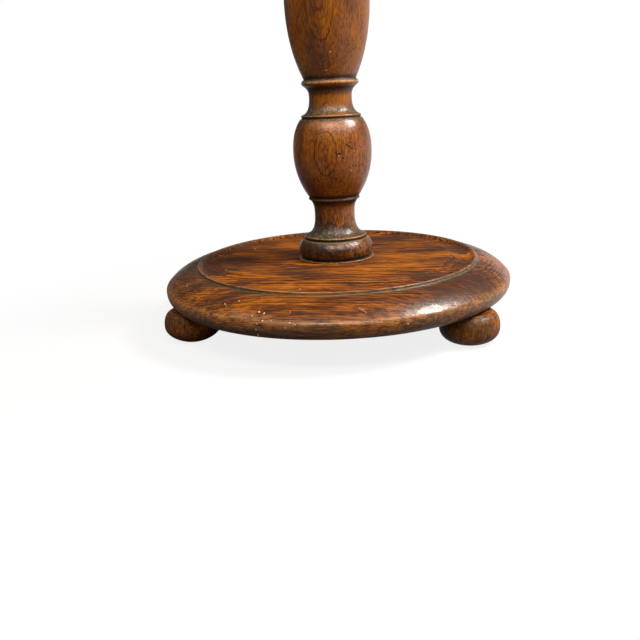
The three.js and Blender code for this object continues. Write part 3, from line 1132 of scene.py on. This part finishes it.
    def raise_grain(self):
        """Relief of the wood, which the film of polish follows only by half."""
        dents = self.spots(DENT)
        blotches = self.fit(self.kicked, 0, 1, BLOTCH_RELIEF, KICKED_BLOTCH_RELIEF)
        kicked_speckle = self.fit(self.kicked, 0, 1, 0, KICKED_SPECKLE_RELIEF)
        dusty_speckle = self.fit(self.dust, 0, 1, CLEAN_SPECKLE_RELIEF, DUSTY_SPECKLE_RELIEF)
        height = self.total(
            self.times(dents, DENT_RELIEF),
            self.times(self.blotch, blotches),
            self.times(self.speckle, kicked_speckle),
            self.times(self.pores, PORE_RELIEF),
            self.times(self.porous, POROUS_RING_RELIEF),
            self.times(self.knocked, KNOCK_RELIEF),
            self.times(self.fibre, FIBRE_RELIEF),
            self.times(self.speckle, dusty_speckle),
        )
        film = self.total(self.times(dents, 0.5), self.times(height, 0.5))
        self.give(
            Normal=self.bump(height, strength=RELIEF_STRENGTH),
            Coat_Normal=self.bump(film, strength=RELIEF_STRENGTH),
        )


def steel():
    metal = Surface("screw_steel")
    stain = metal.cloud(metal.place(), Spots(2.5, 2.5, seed=1, detail=3))
    metal.give(
        Base_Color=metal.blend(metal.fit(stain, 0.4, 0.7), (*STEEL, 1), (*RUST, 1)),
        Roughness=metal.fit(stain, 0.35, 0.7, 0.32, 0.75),
        Metallic=1.0,
    )
    return metal.material


def raw_oak():
    wood = Surface("raw_oak")
    fibre = wood.cloud(wood.place(), Spots(0.5, 0.5, seed=1))
    stain = wood.cloud(wood.place(), Spots(8, 8, seed=2))
    tone = wood.shade(fibre, BARE_OAK, AGED_OAK)
    wood.give(
        Base_Color=wood.blend(wood.fit(stain, 0.4, 0.7, 0, 0.5), tone, (*DIRTY_OAK, 1)),
        Roughness=wood.spread(fibre, 0.7, 0.9),
        Normal=wood.bump(fibre, distance=0.2 * MM),
    )
    return wood.material


def paint():
    speck = Surface("cream_paint")
    soil = speck.cloud(speck.place(), Spots(0.7, 0.7, seed=5))
    speck.give(Base_Color=speck.shade(soil, PAINT, SOILED_PAINT), Roughness=speck.spread(soil, 0.4, 0.65))
    return speck.material


def dark_wax():
    wax = Surface("dark_wax")
    grit = wax.cloud(wax.place(), Spots(0.5, 0.5, seed=6))
    wax.give(
        Base_Color=wax.shade(grit, SOOT_AND_SHADE, DRY_WAX),
        Roughness=wax.spread(grit, 0.6, 0.8),
        Specular_IOR_Level=0.2,
    )
    return wax.material


def build_base():
    base = turn_piece("base", base_profile(), BASE_SIDES, seat=BASE_LOW.z)
    cut_out(base, [spigot_hole(foot) for foot in FOOT_FULLNESS])
    stand_for(base, "base_disc", Oak("oak_base", BASE_FINISH).material)
    return base


def build_feet():
    wood = Oak("oak_feet", FEET_FINISH).material
    for foot, fullness in FOOT_FULLNESS.items():
        piece = turn_piece(f"bun_{foot}", foot_profile(fullness), FOOT_SIDES, centre=middle_of(foot))
        stand_for(piece, foot, wood)


def build_column():
    column = turn_piece("turned_column", column_profile(), COLUMN_SIDES)
    cut_out(column, [
        kerf_cutter(COLUMN_LOW.z - GLUE_GAP, KERF_DEPTH + GLUE_GAP),
        kerf_cutter(COLUMN_HIGH.z + GLUE_GAP, -KERF_DEPTH - GLUE_GAP),
    ])
    stand_for(column, "column", Oak("oak_column", COLUMN_FINISH).material)
    return column


def build_top():
    wood = Oak("oak_top", TOP_FINISH).material
    top = turn_piece("round_top", top_profile(), TOP_SIDES, seat=TOP_LOW.z)
    cut_out(top, [screw_hole(screw) for screw in SCREWS])
    stand_for(top, "top_disc", wood)
    block = turn_piece("turned_block", block_profile(), BLOCK_SIDES, seat=BLOCK_LOW.z)
    cut_out(block, [screw_hole(screw) for screw in SCREWS])
    stand_for(block, "top_block", wood)


def dress_cad_nodes(nodes, material):
    for node in nodes:
        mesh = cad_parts[node].data
        mesh.materials.clear()
        mesh.materials.append(material)


def build_stand(camera):
    base = build_base()
    build_feet()
    column = build_column()
    build_top()
    cream = paint()
    splash(camera, base, "base_specks", BASE_SPECKS, cream)
    splash(camera, base, "base_scratch", BASE_SCRATCH, cream)
    splash(camera, column, "column_specks", COLUMN_SPECKS, cream)
    splash(camera, column, "column_nicks", COLUMN_NICKS, dark_wax())
    dress_cad_nodes(["base_wedge", "top_wedge"], raw_oak())
    dress_cad_nodes(SCREWS, steel())


def white_seen(nodes, lit, white, behind):
    """Gives the white shader to the camera, and to reflections and clear glass as far as it lies behind."""
    rays = nodes.tree.nodes.new("ShaderNodeLightPath").outputs
    mirrored = nodes.maths("MAXIMUM", rays["Is Glossy Ray"], rays["Is Transmission Ray"])
    seen = nodes.maths("MAXIMUM", rays["Is Camera Ray"], nodes.times(mirrored, behind, MIRRORED_WHITE))
    return nodes.add("ShaderNodeMixShader", {0: seen, 1: lit, 2: white})


def towards_backdrop(nodes, vector):
    """How far a direction or a place lies on the backdrop's side, behind the stand and to its right."""
    return nodes.vector("DOT_PRODUCT", vector, direction(BACKDROP_AZIMUTH, 0), output="Value")


def add_world():
    """Dim room, with a low white backdrop."""
    world = bpy.data.worlds.new("studio")
    bpy.context.scene.world = world
    sky = Nodes(world)
    room = sky.add("ShaderNodeBackground", {"Color": (*ROOM_TONE, 1), "Strength": ROOM_STRENGTH})
    white = sky.add("ShaderNodeBackground", {"Color": (1, 1, 1, 1), "Strength": 1.0})
    gaze = sky.add("ShaderNodeTexCoord", {}, output="Generated")
    low = sky.fit(sky.split(gaze)["Z"], *BACKDROP_TOP)
    behind = sky.times(sky.fit(towards_backdrop(sky, gaze), *BACKDROP_SIDE), low)
    sky.put(sky.tree.nodes["World Output"].inputs["Surface"], white_seen(sky, room, white, behind))


def add_floor():
    """Pale floor with the stand's shadow, which goes over into the white of the room further out."""
    floor = Surface("floor")
    floor.give(Base_Color=(*FLOOR_TONE, 1), Roughness=FLOOR_ROUGHNESS)
    glow = floor.add("ShaderNodeEmission", {"Color": (1, 1, 1, 1), "Strength": 1.0})
    far = floor.vector("LENGTH", floor.place(), output="Value")
    shadowed = floor.add("ShaderNodeMixShader", {
        0: floor.fit(far, SHADOW_WITHIN, WHITE_BEYOND, WHITE_IN_SHADOW, 1.0),
        1: floor.shader.outputs[0],
        2: glow,
    })
    dim = floor.add("ShaderNodeBsdfDiffuse", {"Color": (*FLOOR_MIRRORED_TONE, 1)})
    behind = floor.fit(towards_backdrop(floor, floor.place()), *BACKDROP_ON_FLOOR)
    shown = white_seen(floor, dim, shadowed, behind)
    floor.put(floor.tree.nodes["Material Output"].inputs["Surface"], shown)
    corners = [(x * FLOOR_REACH, y * FLOOR_REACH, 0) for x, y in ((-1, -1), (1, -1), (1, 1), (-1, 1))]
    piece = mesh_object("floor", corners, [(0, 1, 2, 3)])
    piece.data.materials.append(floor.material)
    piece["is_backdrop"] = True


def add_lamp(name, azimuth, elevation, distance, size, power, colour):
    lamp = bpy.data.lights.new(name, "AREA")
    lamp.shape = "RECTANGLE"
    lamp.size, lamp.size_y = size
    lamp.energy = power
    lamp.color = colour
    towards = direction(azimuth, elevation)
    placed = place_object(name, lamp)
    placed.location = Vector((0, 0, LAMP_AIM)) + towards * distance
    placed.rotation_mode = "QUATERNION"
    placed.rotation_quaternion = towards.to_track_quat("Z", "Y")


build_stand(add_camera())
add_world()
add_floor()
for lamp_name, settings in LAMPS.items():
    add_lamp(lamp_name, *settings)
bpy.context.scene.view_settings.view_transform = "Standard"
[[list(corner) for corner in box] for box in (cad_bounds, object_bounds())]
